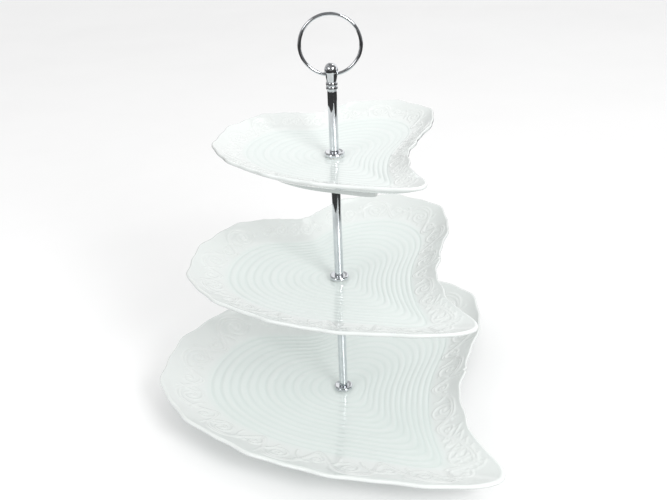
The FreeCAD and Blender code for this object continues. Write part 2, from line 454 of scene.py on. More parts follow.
def eased(value: np.ndarray, low: float, high: float) -> np.ndarray:
    """Smooth step: 0 below low, 1 above high, a cubic between."""
    x = np.clip((value - low) / (high - low), 0.0, 1.0)
    return x * x * (3.0 - 2.0 * x)


@dataclass
class ClosedCurve:
    """Periodic cubic spline through points, smooth to the second derivative."""

    points: np.ndarray
    knots: np.ndarray

    def __post_init__(self) -> None:
        """Solve for the second derivatives: each knot's slopes agree on both sides."""
        count = len(self.points)
        step = np.diff(self.knots)
        before = np.roll(step, 1)
        rows = np.arange(count)
        matrix = np.zeros((count, count))
        matrix[rows, rows] = 2.0 * (before + step)
        matrix[rows, (rows + 1) % count] += step
        matrix[rows, (rows - 1) % count] += before
        slope = (np.roll(self.points, -1, 0) - self.points) / step[:, None]
        self.bend = np.linalg.solve(matrix, 6.0 * (slope - np.roll(slope, 1, 0)))

    def at(self, value: np.ndarray) -> np.ndarray:
        """Points of the curve: between two knots, the cubic through both with those bends.

        Args:
            value: curve parameters, any shape.

        Returns:
            Points, with one more axis than value.
        """
        value = np.mod(value, self.knots[-1])
        span = np.clip(np.searchsorted(self.knots, value, side="right") - 1, 0, len(self.points) - 1)
        after = (span + 1) % len(self.points)
        step = (self.knots[span + 1] - self.knots[span])[..., None]
        ahead = (self.knots[span + 1] - value)[..., None]
        behind = (value - self.knots[span])[..., None]
        bend_0, bend_1 = self.bend[span], self.bend[after]
        point_0, point_1 = self.points[span], self.points[after]
        cubic = (bend_0 * ahead**3 + bend_1 * behind**3) / (6.0 * step)
        line_0 = (point_0 / step - bend_0 * step / 6.0) * ahead
        line_1 = (point_1 / step - bend_1 * step / 6.0) * behind
        return cubic + line_0 + line_1


def finished(piece: bpy.types.Object, body: Body, node: str) -> bpy.types.Object:
    """Seat a new piece in the frame.

    Args:
        piece: the new piece.
        body: what it rides on.
        node: the CAD node it stands for.

    Returns:
        The same piece.
    """
    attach(piece, body.value)
    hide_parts(node)
    LOG.info("%s: %d corners", piece.name, len(piece.data.vertices))
    return piece


def span(node: str) -> tuple[float, float, float]:
    """Radius, low and high of a round CAD node, in millimetres."""
    low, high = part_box(node)
    return (high.x - low.x) / 2.0 / MM, low.z / MM, high.z / MM


# ---------------------------------------------------------------- plates


@dataclass
class HeartOutline:
    """The curved heart that all plates share, as a share of a plate's depth.

    Each row holds a point of the rim and the matching point of the well's edge, in
    per cent of the depth, counter-clockwise from the right flank.
    """

    rows: tuple[tuple[float, float, float, float], ...] = (
        (32.3, 0.0, 23.2, 0.0),
        (37.6, 28.0, 27.4, 20.6),
        (33.8, 43.4, 24.6, 32.4),
        (21.0, 52.0, 15.2, 38.4),
        (5.8, 51.8, 4.2, 35.8),
        (-5.9, 42.2, -4.2, 29.6),
        (-13.2, 33.6, -9.4, 23.0),
        (-23.8, 33.6, -17.2, 21.6),
        (-37.2, 29.0, -26.8, 20.2),
        (-45.9, 15.0, -33.8, 11.1),
        (-48.4, -2.2, -35.6, -1.6),
        (-41.8, -18.9, -30.6, -13.6),
        (-14.4, -39.3, -10.4, -27.4),
        (16.8, -46.4, 10.9, -32.8),
        (39.6, -43.8, 25.2, -34.2),
        (34.2, -29.0, 24.2, -25.0),
    )
    spacing_power: float = 0.7
    travel_steps: int = 4000

    def __post_init__(self) -> None:
        """Make the two curves on shared knots, and a table of travel round the band.

        The knots are spaced by the rim's chords to a power under one, in per cent.
        """
        table = np.array(self.rows) / 100.0
        chord = np.linalg.norm(np.roll(table[:, :2], -1, 0) - table[:, :2], axis=1) * 100.0
        knots = np.concatenate([[0.0], np.cumsum(chord**self.spacing_power)])
        self.rim = ClosedCurve(table[:, :2], knots)
        self.well = ClosedCurve(table[:, 2:], knots)
        self.fine = np.linspace(0.0, knots[-1], self.travel_steps + 1)
        middle = (self.rim.at(self.fine) + self.well.at(self.fine)) / 2.0
        travel = np.linalg.norm(np.diff(middle, axis=0), axis=1)
        self.travel = np.concatenate([[0.0], np.cumsum(travel)])
        self.length = float(self.travel[-1])

    def knots_at(self, fraction: np.ndarray) -> np.ndarray:
        """Curve parameters at fractions of the way round the middle of the band."""
        return np.interp(np.mod(fraction, 1.0) * self.length, self.travel, self.fine)

    def plan(self, fraction: np.ndarray, across: np.ndarray) -> np.ndarray:
        """Points of the band: a straight blend from the well's edge to the rim.

        Args:
            fraction: travel round the band, 0 to 1.
            across: 0 at the well's edge, 1 at the rim.

        Returns:
            Points as a share of the plate's depth, with one more axis than across.
        """
        knots = self.knots_at(fraction)
        well, rim = self.well.at(knots), self.rim.at(knots)
        return well + (rim - well) * np.asarray(across)[..., None]


@dataclass
class ScrollRelief:
    """Raised scrollwork of the rim, worked out once on the plan of a middle plate.

    A doubled line waves along the band. Each arch holds a spiral ending in a bead,
    each trough a small curl between two leaves. In the cleft the waves crowd into a
    running chain of spirals. Travel is a share of the band's length, places across
    are shares of its width, and the other sizes are millimetres.
    """

    outline: HeartOutline
    depth: float = 281.0
    waves: float = 15.0
    wave_middle: float = 0.50
    wave_swing: float = 0.30
    swing_ripple: float = 0.16
    line_gap: float = 0.075
    chain_waves: float = 4.0
    chain: tuple[float, float] = (0.285, 0.40)
    chain_lift: float = 0.20
    chain_across: float = 0.58
    chain_radius: float = 6.3
    open_share: float = 0.75
    spiral_share: float = 0.165
    spiral_limits: tuple[float, float] = (5.2, 9.2)
    filler_share: float = 0.085
    filler_limits: tuple[float, float] = (2.4, 5.0)
    band_width: float = 30.0
    bead_steps: tuple[float, ...] = (0.24, 0.31, 0.38)
    leaf_run: tuple[float, float, int] = (0.852, 0.900, 6)
    leaf_lean: float = 0.020
    leaf_bow: float = 0.0035
    ridge: float = 0.70
    bead: float = 1.35
    line_samples: int = 3000
    stroke_samples: int = 24

    def phase(self, fraction: np.ndarray) -> np.ndarray:
        """Wave angle along the band: even, with extra turns where the curls crowd."""
        extra = self.chain_waves * eased(np.mod(fraction, 1.0), *self.chain)
        return TURN * (self.waves * fraction + extra)

    def period(self, fraction: np.ndarray) -> np.ndarray:
        """Length of a wave there, as a share of the band's length."""
        near = 0.002
        return 2.0 * near * TURN / (self.phase(fraction + near) - self.phase(fraction - near))

    def crowding(self, fraction: np.ndarray) -> np.ndarray:
        """1 where waves have their even length, less where they crowd."""
        return np.minimum(self.period(fraction) * self.waves, 1.0)

    def length(self, fraction: np.ndarray) -> np.ndarray:
        """Length of a wave there in millimetres."""
        return self.period(fraction) * self.outline.length * self.depth

    def wave(self, fraction: np.ndarray) -> np.ndarray:
        """Place of the waving line across the band: a sine with rounder arches.

        Short waves swing less, and a slow ripple of three periods varies the others.

        Args:
            fraction: travel round the band.

        Returns:
            Places across the band, 0 at the well's edge and 1 at the rim.
        """
        angle = self.phase(fraction)
        crowd = self.crowding(fraction) ** 0.7
        swing = self.wave_swing * crowd * (1.0 + self.swing_ripple * np.sin(TURN * 3.0 * fraction + 0.7))
        middle = self.wave_middle + self.chain_lift * (1.0 - crowd)
        return middle + swing * np.sin(angle + 0.35 * np.cos(angle))

    def drawn(self, fraction: np.ndarray, across: np.ndarray) -> np.ndarray:
        """Points of the middle plate's plan in millimetres."""
        return self.outline.plan(fraction, across) * self.depth

    def frames(
        self, fraction: np.ndarray, across: np.ndarray
    ) -> tuple[np.ndarray, np.ndarray, np.ndarray]:
        """Places in the band with their directions ahead and outwards.

        Args:
            fraction: travel round the band.
            across: places across it.

        Returns:
            Points in millimetres, and two sets of unit vectors.
        """
        centre = self.drawn(fraction, across)
        ahead = self.drawn(fraction + 0.001, across) - centre
        ahead /= np.linalg.norm(ahead, axis=1)[:, None]
        return centre, ahead, np.stack([ahead[:, 1], -ahead[:, 0]], 1)

    def curl(
        self, fraction: np.ndarray, across: np.ndarray, radius: np.ndarray, start: float,
        turns: float, tail: float,
    ) -> tuple[np.ndarray, np.ndarray]:
        """Spirals that wind in towards their beads.

        The radius falls evenly with the angle to a fifth, and the outer end has a
        tail that runs out by tail times the radius and dies away at once.

        Args:
            fraction: travel round the band of each centre.
            across: place across the band of each centre.
            radius: outer radius of each spiral in millimetres.
            start: angle of the outer end from ahead towards outwards.
            turns: whole turns wound.
            tail: extra reach of the outer end.

        Returns:
            Points along the spirals, and their centres.
        """
        centre, ahead, outward = self.frames(fraction, across)
        pace = np.linspace(0.0, 1.0, int(60 * turns))[None, :, None]
        angle = start + pace * TURN * turns
        reach = radius[:, None, None] * (1.0 - 0.80 * pace + tail * np.exp(-9.0 * pace))
        winding = reach * (np.cos(angle) * ahead[:, None] + np.sin(angle) * outward[:, None])
        return (centre[:, None] + winding).reshape(-1, 2), centre

    def is_open(self, fraction: np.ndarray) -> np.ndarray:
        """True where the waves are long enough for the doubled line and its fillers."""
        return self.period(fraction) * self.waves > self.open_share

    def crests(self) -> tuple[np.ndarray, np.ndarray]:
        """Find where the wave angle passes an odd number of quarter turns.

        Returns:
            Travel of every arch and of every trough.
        """
        along = np.linspace(0.0, 1.0, self.line_samples + 1)[:-1]
        turned = np.floor(self.phase(along) / math.pi - 0.5).astype(int)
        found = along[1:][np.diff(turned) > 0]
        is_arch = np.sin(self.phase(found)) > 0
        return found[is_arch], found[~is_arch]

    def line_strokes(self) -> list[np.ndarray]:
        """The doubled waving line, left out where the spirals run in a chain.

        Returns:
            Points of the upper and the lower line.
        """
        along = np.linspace(0.0, 1.0, self.line_samples + 1)[:-1]
        along = along[self.is_open(along)]
        return [self.drawn(along, self.wave(along) + gap) for gap in (0.0, -self.line_gap)]

    def chain_strokes(self, arches: np.ndarray) -> tuple[list[np.ndarray], np.ndarray]:
        """Running chain: each spiral's crown is linked to the next one's foot.

        A link moves evenly ahead while a half cosine takes it from outwards to inwards.

        Args:
            arches: travel of the crowded arches.

        Returns:
            Points of the spirals and the links, and the spirals' centres.
        """
        radius = np.full(len(arches), self.chain_radius)
        across = np.full(len(arches), self.chain_across)
        spirals, eyes = self.curl(arches, across, radius, -math.pi / 2.0, 1.6, 0.0)
        centre, _, outward = self.frames(arches, across)
        pace = np.linspace(0.0, 1.0, 40)[None, :, None]
        step = (centre[1:] - centre[:-1])[:, None]
        side = (outward[:-1, None] * (1.0 - pace) + outward[1:, None] * pace) * self.chain_radius
        links = centre[:-1, None] + step * pace + side * np.cos(math.pi * pace)
        return [spirals, links], eyes

    def arch_strokes(self, arches: np.ndarray) -> tuple[np.ndarray, list[np.ndarray]]:
        """A spiral under each arch, and a falling row of beads after it.

        Args:
            arches: travel of the open arches.

        Returns:
            Points of the spirals, and the centres of the beads.
        """
        period = self.period(arches)
        radius = np.clip(self.spiral_share * self.length(arches), *self.spiral_limits)
        under = self.wave(arches) - 0.09 - 0.80 * radius / self.band_width
        spirals, eyes = self.curl(arches - 0.05 * period, under, radius, 2.6, 1.7, 0.7)
        rows = [self.drawn(arches + step * period, self.wave(arches) - 0.30) for step in self.bead_steps]
        return spirals, [eyes, *rows]

    def trough_strokes(self, troughs: np.ndarray) -> tuple[list[np.ndarray], np.ndarray]:
        """A small curl outside each trough, between two leaves that lean towards it.

        Args:
            troughs: travel of the open troughs.

        Returns:
            Points of the curls and the leaves, and the curls' centres.
        """
        period = self.period(troughs)
        radius = np.clip(self.filler_share * self.length(troughs), *self.filler_limits)
        over = self.wave(troughs) + 0.07 + 1.1 * radius / self.band_width
        curls, eyes = self.curl(troughs, over, radius, -0.6, 1.25, 0.5)
        pace = np.linspace(0.0, 1.0, self.stroke_samples)[None, :]
        rise = self.wave(troughs)[:, None] + 0.02 + 0.36 * pace
        away = (0.34 - 0.14 * pace**2) * period[:, None]
        leaves = [self.drawn(troughs[:, None] + side * away, rise) for side in (-1.0, 1.0)]
        return [curls, *leaves], eyes

    def leaf_strokes(self) -> list[np.ndarray]:
        """A run of slanting leaves at the point, each of two bowed strokes.

        Returns:
            Points of the strokes bowed back and of those bowed ahead.
        """
        first, final, count = self.leaf_run
        base = np.linspace(first, final, count)[:, None]
        pace = np.linspace(0.0, 1.0, self.stroke_samples)[None, :]
        across = 0.22 + 0.60 * pace + 0.0 * base
        lean = base + self.leaf_lean * pace
        bulge = self.leaf_bow * np.sin(math.pi * pace)
        return [self.drawn(lean + bow * bulge, across) for bow in (-1.0, 1.0)]

    def strokes(self) -> tuple[np.ndarray, np.ndarray]:
        """Sample every stroke and bead.

        Returns:
            Points along the ridges and the beads' centres, in millimetres on the plan.
        """
        arches, troughs = self.crests()
        chain, chain_eyes = self.chain_strokes(arches[~self.is_open(arches)])
        spirals, beads = self.arch_strokes(arches[self.is_open(arches)])
        fillers, filler_eyes = self.trough_strokes(troughs[self.is_open(troughs)])
        ridges = [*self.line_strokes(), spirals, *chain, *fillers, *self.leaf_strokes()]
        ridges = np.concatenate([part.reshape(-1, 2) for part in ridges])
        return ridges, np.concatenate([*beads, chain_eyes, filler_eyes])

    @staticmethod
    def bells(grid: np.ndarray, points: np.ndarray, width: float) -> np.ndarray:
        """Bell of the distance from each grid place to the nearest point.

        The grid is taken in narrow strips, each with only the points near it.

        Args:
            grid: places, rows by columns, in millimetres.
            points: points of the strokes.
            width: distance at which the bell has fallen to a third.

        Returns:
            Heights from 0 to 1, rows by columns.
        """
        height = np.zeros(grid.shape[:2])
        for part in np.array_split(np.arange(grid.shape[1]), grid.shape[1] // 16):
            block = grid[:, part].reshape(-1, 2)
            low, high = block.min(0) - 3.0 * width, block.max(0) + 3.0 * width
            near = points[((points > low) & (points < high)).all(1)]
            if len(near):
                gap = block[:, None] - near[None]
                bell = np.exp(-(gap * gap).sum(2).min(1) / width**2)
                height[:, part] = bell.reshape(len(grid), len(part))
        return height

    def height(self, fraction: np.ndarray, across: np.ndarray) -> np.ndarray:
        """Height of the relief, 0 to 1, faded out at the well's edge and at the lip.

        Args:
            fraction: travel round the band, one column for each.
            across: places across the band, one row for each.

        Returns:
            Heights, rows by columns.
        """
        grid = self.drawn(fraction[None, :], across[:, None])
        ridges, beads = self.strokes()
        height = np.maximum(self.bells(grid, ridges, self.ridge), self.bells(grid, beads, self.bead))
        fade = eased(across, 0.02, 0.08) * (1.0 - eased(across, 0.88, 0.94))
        return height * fade[:, None]


@dataclass
class HeartPlate:
    """One glazed plate: raked well, sloping band with scrolls, rounded wavy lip, foot."""

    tier: Tier
    outline: HeartOutline
    scrolls: ScrollRelief
    depth: float
    turn: float
    well_rise: float
    rim_rise: float
    rakes: int
    wall: float = 5.5
    lip_wall: float = 3.4
    lip: float = 0.06
    lip_crown: float = 0.3
    foot_share: float = 0.76
    foot_width: float = 5.0
    hole: float = 2.5
    hub: float = 9.5
    chamfer: float = 0.3
    rounding: float = 0.30
    rake_depth: float = 0.25
    rake_cut: float = 0.13
    scroll_height: float = 0.55
    edge_wave: float = 1.10
    edge_lift: float = 0.35
    # places on the glaze's colour ramp; the ramp paints shade low and highlight high, and the lip's place
    # is a painted highlight
    well_tint: float = 0.40
    band_tint: float = 0.60
    lip_highlight_tint: float = 0.80
    columns: int = 220
    band_rows: int = 48
    lip_steps: int = 9
    steps_per_rake: int = 6

    def __post_init__(self) -> None:
        """Take the heights from the frame: the well's centre and the ground of the foot."""
        self.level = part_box(self.tier.value + "_flange_pad")[0].z / MM
        self.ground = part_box(self.tier.value + "_plate")[0].z / MM
        self.scale = self.depth / self.scrolls.depth
        self.fractions = np.arange(4 * self.columns) / (4.0 * self.columns)
        well = self.outline.plan(self.fractions, np.zeros(len(self.fractions)))
        self.mean = float(np.linalg.norm(well, axis=1).mean())
        self.unit = self.mean * self.depth
        self.harmonics = np.fft.fft(well[:, 0] + 1j * well[:, 1])
        self.order = np.fft.fftfreq(len(well), 1.0 / len(well))

    def dish(self, share: np.ndarray) -> np.ndarray:
        """Height over the well's centre: a shallow bowl, then a rising curve.

        Args:
            share: 0 at the post, 1 at the well's edge, 2 at the rim.

        Returns:
            Heights in millimetres.
        """
        well = self.well_rise * np.minimum(share, 1.0) ** 2
        blend = np.maximum(share - 1.0, 0.0)
        return well + (self.rim_rise - self.well_rise) * (0.4 * blend + 0.6 * blend**2)

    def ring(self, share: float, height: float, stride: int, rounding: float = 0.0) -> np.ndarray:
        """One closed section: hearts growing from the post, round near the hole.

        Inside the well the heart can soften towards the post: its harmonics of order
        k are damped by the bell of k times the rounding times the way in.

        Args:
            share: 0 to 1 grows the well's outline, 1 to 2 blends it into the rim's.
            height: millimetres over the well's centre.
            stride: use every column, every other one or every fourth.
            rounding: how fast the heart's corners soften.

        Returns:
            Points in millimetres, before the plate is turned on the post.
        """
        fraction = self.fractions[::stride]
        if share >= 1.0:
            plan = self.outline.plan(fraction, np.full(len(fraction), share - 1.0))
        else:
            inwards = rounding * (1.0 - share)
            damping = np.exp(inwards**2 * (1.0 - self.order**2))
            damping[0] = 1.0
            heart = np.fft.ifft(self.harmonics * damping)[::stride]
            circle = heart / np.abs(heart) * self.mean
            blend = eased(np.array(share), 0.06, 0.30)
            heart = share * (blend * heart + (1.0 - blend) * circle)
            plan = np.stack([heart.real, heart.imag], 1)
        points = np.empty((len(fraction), 3))
        points[:, :2] = plan * self.depth
        points[:, 2] = height
        return points

    def rake(self, share: np.ndarray) -> np.ndarray:
        """Raked ripples of slightly uneven depth.

        Most of the depth is a narrow bell cut at each whole rake; the rest is the
        gentle crown of a half sine between two cuts.

        Args:
            share: places in the well, 0 at the post and 1 at its edge.

        Returns:
            0 in a groove and about 1 on a ridge.
        """
        place = self.rakes * share
        cut = np.exp(-((place - np.round(place)) / self.rake_cut) ** 2)
        crown = np.abs(np.sin(math.pi * place))
        uneven = 1.0 + 0.16 * np.sin(2.4 * np.floor(place) + 1.3)
        return (0.65 * (1.0 - cut) + 0.35 * crown) * uneven

    def upper_rings(self) -> tuple[list[np.ndarray], list[np.ndarray]]:
        """Hub and raked well.

        Returns:
            The rings and, for each, its relief from 0 in a groove to 1 on a ridge.
        """
        radii = (self.hole, self.hole + self.chamfer, 2.0 * self.hole, self.hub)
        heights = (-self.chamfer, 0.0, 0.0, 0.0)
        rings = [self.ring(r / self.unit, z, 4, self.rounding) for r, z in zip(radii, heights)]
        relief = [np.full(self.columns, self.well_tint) for _ in radii]
        count = self.rakes * self.steps_per_rake
        raked = np.arange(1, count + 1) / count
        raked = raked[raked > (self.hub + 1.5) / self.unit]
        fade = eased(raked, self.hub / self.unit, self.hub / self.unit + 0.10)
        cuts = fade * (self.rake(raked) - 1.0)
        heights = self.dish(raked) + self.rake_depth * self.scale**0.5 * cuts
        for share, height, cut in zip(raked, heights, cuts):
            ring = self.ring(share, height, 4 if share < 0.45 else 2, self.rounding)
            rings.append(ring)
            # relief falls to 0 in each raked groove, where the glaze paints shade
            relief.append(np.full(len(ring), self.well_tint * (1.0 + cut)))
        return rings, relief

    def band_rings(self) -> tuple[list[np.ndarray], list[np.ndarray]]:
        """Sloping band with its scrolls, then the rounded lip.

        The scrolls stand out along the slope's normal. The lip is half an ellipse
        with a slight crown on its upper quarter.

        Returns:
            The rings and their relief.
        """
        across = np.linspace(0.0, 1.0 - self.lip, self.band_rows + 1)[1:]
        scroll = self.scrolls.height(self.fractions, across)
        base = np.stack([self.ring(1.0 + b, float(self.dish(1.0 + b)), 1) for b in across])
        normal = np.cross(np.roll(base, -1, 1) - np.roll(base, 1, 1), np.gradient(base, axis=0))
        normal *= -1.0 / np.linalg.norm(normal, axis=2, keepdims=True)
        normal *= np.sign(normal[..., 2:])
        tall = self.scroll_height * self.scale
        base = base + normal * (scroll[..., None] * tall)
        base[..., 2:] -= self.rake_depth * (1.0 - eased(across, 0.0, 0.035))[:, None, None]
        tint = self.well_tint + (self.band_tint - self.well_tint) * eased(across, 0.0, 0.2)[:, None]
        # relief rises to 1 on the scroll tops, where the glaze paints a highlight
        rings, relief = list(base), list(tint + (1.0 - tint) * scroll)
        start = 2.0 - self.lip
        for angle in np.linspace(0.0, math.pi, self.lip_steps + 1)[1:-1]:
            drop = self.lip_wall * (1.0 - math.cos(angle)) / 2.0
            crown = self.lip_crown * math.sin(min(angle * 2.0, math.pi))
            height = float(self.dish(start)) + crown - drop
            rings.append(self.ring(start + self.lip * math.sin(angle), height, 1))
            # the lip's relief gives a painted highlight along the lip
            relief.append(np.full(len(self.fractions), self.lip_highlight_tint))
        return rings, relief

    def lower_rings(self) -> tuple[list[np.ndarray], list[np.ndarray]]:
        """Underside from the lip to the hole, with the foot ring ground flat.

        Returns:
            The rings and their relief.
        """
        half = self.foot_width / 2.0 / self.unit
        outer, inner = self.foot_share + half, self.foot_share - half
        ground = self.ground - self.level

        def under(share: float, groove: float = 0.0) -> float:
            """Underside's height: the dish less the wall, thinner towards the lip."""
            thin = max(share - 1.0, 0.0) * (self.wall - self.lip_wall)
            return float(self.dish(np.array(share))) - self.wall + thin - groove

        slope = (1.86, 1.78, 1.65, 1.5, 1.35, 1.2, 1.08, 1.0, 0.95, 0.88, outer + 0.02)
        shape = [(share, under(share)) for share in slope]
        shape += [(outer + 0.004, under(outer, 0.25)), (outer, under(outer, 0.9))]
        shape += [(outer - half * 0.25, ground + 0.5), (outer - half * 0.45, ground)]
        shape += [(inner + half * 0.45, ground), (inner + half * 0.25, ground + 0.5)]
        shape += [(inner, under(inner, 0.9)), (inner - 0.004, under(inner, 0.25))]
        shape += [(inner - 0.02, under(inner))]
        shape += [(share, under(share)) for share in (0.6, 0.45, 0.3)]
        shape += [(radius / self.unit, -self.wall) for radius in (self.hub, self.hole)]
        rings = [self.ring(share, height, 2 if share > 0.5 else 4) for share, height in shape]
        return rings, [np.full(len(ring), self.band_tint) for ring in rings]

    def waved(self, rings: list[np.ndarray], shares: np.ndarray) -> None:
        """Wave the edge: push outwards and lift by the scrolls' angle, fading inwards.

        Args:
            rings: fine rings of the band and lip, changed in place.
            shares: how much of the wave each ring takes.
        """
        angle = self.scrolls.phase(self.fractions)
        scallop = np.cos(angle) + 0.55 * np.cos(2.0 * angle + 0.6)
        push = self.edge_wave * self.scale**0.5 * self.scrolls.crowding(self.fractions) * scallop
        for ring, share in zip(rings, shares):
            reach = np.linalg.norm(ring[:, :2], axis=1, keepdims=True)
            ring[:, :2] *= 1.0 + share * push[:, None] / reach
            ring[:, 2] += share * self.edge_lift * push

    def build(self, material: bpy.types.Material) -> bpy.types.Object:
        """Join the zones into one closed skin, turned on the post.

        Args:
            material: the glaze.

        Returns:
            The plate, riding on its own body in place of its CAD solid.
        """
        upper, upper_relief = self.upper_rings()
        band, band_relief = self.band_rings()
        lower, lower_relief = self.lower_rings()
        place = np.linspace(0.0, 1.0, self.band_rows)
        lips = len(band) - self.band_rows
        self.waved(band, np.concatenate([eased(place, 0.45, 1.0), np.ones(lips)]))
        skin = Skin.of_rings(upper + band + lower, True)
        cosine, sine = math.cos(math.radians(self.turn)), math.sin(math.radians(self.turn))
        turned = skin.corners @ np.array([[cosine, sine, 0], [-sine, cosine, 0], [0, 0, 1]])
        skin.corners = (turned + np.array([0.0, 0.0, self.level])) * MM
        node = self.tier.value + "_plate"
        piece = skin.build(node + "_glazed", material)
        relief = np.concatenate(upper_relief + band_relief + lower_relief).astype(np.float32)
        piece.data.attributes.new("relief", "FLOAT", "POINT").data.foreach_set("value", relief)
        return finished(piece, Body[self.tier.name], node)


# ---------------------------------------------------------------- metalwork


@dataclass
class Lathe:
    """Turns profiles about the post's axis."""

    material: bpy.types.Material
    segments: int = 96
    bend_points: int = 9

    def softened(self, profile: list[tuple[float, float, float]]) -> np.ndarray:
        """Round the corners of a closed profile.

        Each corner becomes a bend: the curve of two straight blends, which leaves
        both sides along their own directions.

        Args:
            profile: radius, height and corner radius of each corner, in millimetres.

        Returns:
            Points along the profile, as many for each corner as a bend has.
        """
        table = np.array(profile)
        corner, size = table[:, :2], table[:, 2:]
        back = np.roll(corner, 1, 0) - corner
        ahead = np.roll(corner, -1, 0) - corner
        back_length = np.linalg.norm(back, axis=1, keepdims=True)
        ahead_length = np.linalg.norm(ahead, axis=1, keepdims=True)
        size = np.minimum(size, 0.45 * np.minimum(back_length, ahead_length))
        first = (corner + back / back_length * size)[:, None]
        final = (corner + ahead / ahead_length * size)[:, None]
        blend = np.linspace(0.0, 1.0, self.bend_points)[None, :, None]
        bend = (1 - blend) ** 2 * first + 2 * blend * (1 - blend) * corner[:, None] + blend**2 * final
        return bend.reshape(-1, 2)

    def turn(self, name: str, profile: np.ndarray) -> bpy.types.Object:
        """Revolve a profile: each point becomes a circle, or a pole on the axis.

        Args:
            name: the piece's name.
            profile: radius and height in millimetres, running outwards over the top
                and back below; a loop, or a line from one pole to another.

        Returns:
            The turned piece.
        """
        angle = np.arange(self.segments) * TURN / self.segments
        circle = np.column_stack([np.cos(angle), np.sin(angle), np.zeros(self.segments)])
        rings = []
        for radius, height in profile:
            ring = circle * radius if radius > AXIS_NEAR else np.zeros((1, 3))
            rings.append((ring + np.array([0.0, 0.0, height])) * MM)
        return Skin.of_rings(rings, profile[0, 0] > AXIS_NEAR).build(name, self.material)


@dataclass
class PostWork:
    """Posts, flanges and washers that clamp the plates, in millimetres."""

    material: bpy.types.Material
    bore: float = 2.05
    fine_edge: float = 0.1
    edge: float = 0.35
    seat_clearance: float = 0.1
    flange_floor: float = 1.4
    seat_wall: float = 1.7
    seat_lip: float = 0.25
    crest: float = 7.3
    dish_sag: float = 0.12
    dish_points: int = 13
    roll_points: int = 25

    def build(self) -> None:
        """Turn every post, flange and washer."""
        lathe = Lathe(self.material)
        flanges = tuple(tier.value + "_flange" for tier in Tier)
        work = (
            (("lower_post", "middle_post", "upper_post"), "_tube", self.sleeve),
            (flanges, "_rolled", self.flange),
            (("middle_under_washer", "top_under_washer"), "_turned", self.sleeve),
        )
        for nodes, ending, profile in work:
            for node in nodes:
                piece = lathe.turn(node + ending, profile(lathe, node))
                finished(piece, Body.POST, node)

    def sleeve(self, lathe: Lathe, node: str) -> np.ndarray:
        """Profile of a bored cylinder with softened ends, long as a post or flat as a washer.

        Args:
            lathe: rounds the corners.
            node: the CAD node whose size it takes.

        Returns:
            A closed profile.
        """
        radius, low, high = span(node)
        inside = [(self.bore, low, self.fine_edge), (self.bore, high, self.fine_edge)]
        return lathe.softened(inside + [(radius, high, self.edge), (radius, low, self.edge)])

    def flange(self, lathe: Lathe, node: str) -> np.ndarray:
        """Profile of a rounded flange: a full outer roll and a dish round the post's seat.

        The dish is a straight slope from the seat's wall to the crest, less a sine
        that sags most near its middle. The roll is a half ellipse, a little squared.

        Args:
            lathe: rounds the corners.
            node: the CAD node whose size it takes.

        Returns:
            A closed profile.
        """
        radius, low, high = span(node)
        floor = low + self.flange_floor
        seat, wall_top = span("lower_post")[0] + self.seat_clearance, floor + self.seat_wall
        corners = [
            (self.bore, low), (self.bore, floor), (seat, floor), (seat, wall_top),
            (seat + self.seat_lip, wall_top),
        ]
        start = lathe.softened([(*corner, self.fine_edge) for corner in corners])
        pace = np.linspace(0.0, 1.0, self.dish_points + 1)[:, None]
        inner, crest = np.array([seat + self.seat_lip, wall_top]), np.array([self.crest, high])
        dish = inner + (crest - inner) * pace
        dish[:, 1] -= self.dish_sag * np.sin(math.pi * pace[:, 0]) * (1.0 - 0.4 * pace[:, 0])
        angle = np.linspace(math.pi / 2.0, -math.pi / 2.0, self.roll_points)[1:]
        roll = np.column_stack([
            self.crest + (radius - self.crest) * np.cos(angle) ** 0.9,
            low + (high - low) / 2.0 * (1.0 + np.sin(angle)),
        ])
        return np.concatenate([start[:-lathe.bend_points], dish, roll])


@dataclass
class RingHandle:
    """Split wire ring that stands in the head's cross bore."""

    material: bpy.types.Material
    gap: float = 0.3
    along: int = 288
    around: int = 32

    def __post_init__(self) -> None:
        """Read the ring's place and sizes from its node's box."""
        low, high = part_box("carrying_ring")
        self.wire = (high.y - low.y) / 2.0 / MM
        self.reach = (high.x - low.x) / 2.0 / MM - self.wire
        self.middle = (high.z + low.z) / 2.0 / MM

    def build(self) -> bpy.types.Object:
        """A circle of wire carried round a circle, open by a hair at the bottom and capped.

        Returns:
            The ring, riding on its own body.
        """
        half = self.gap / 2.0 / self.reach
        path = np.linspace(half, TURN - half, self.along) - math.pi / 2.0
        out = np.column_stack([np.cos(path), np.zeros(self.along), np.sin(path)])
        angle = np.arange(self.around) * TURN / self.around
        side = np.array([0.0, 1.0, 0.0])
        centre = out * self.reach + np.array([0.0, 0.0, self.middle])
        wire = self.wire * (
            np.cos(angle)[None, :, None] * out[:, None] - np.sin(angle)[None, :, None] * side
        )
        rings = [centre[:1] * MM] + list((centre[:, None] + wire) * MM) + [centre[-1:] * MM]
        piece = Skin.of_rings(rings, False).build("ring_handle_wire", self.material)
        return finished(piece, Body.RING, "carrying_ring")


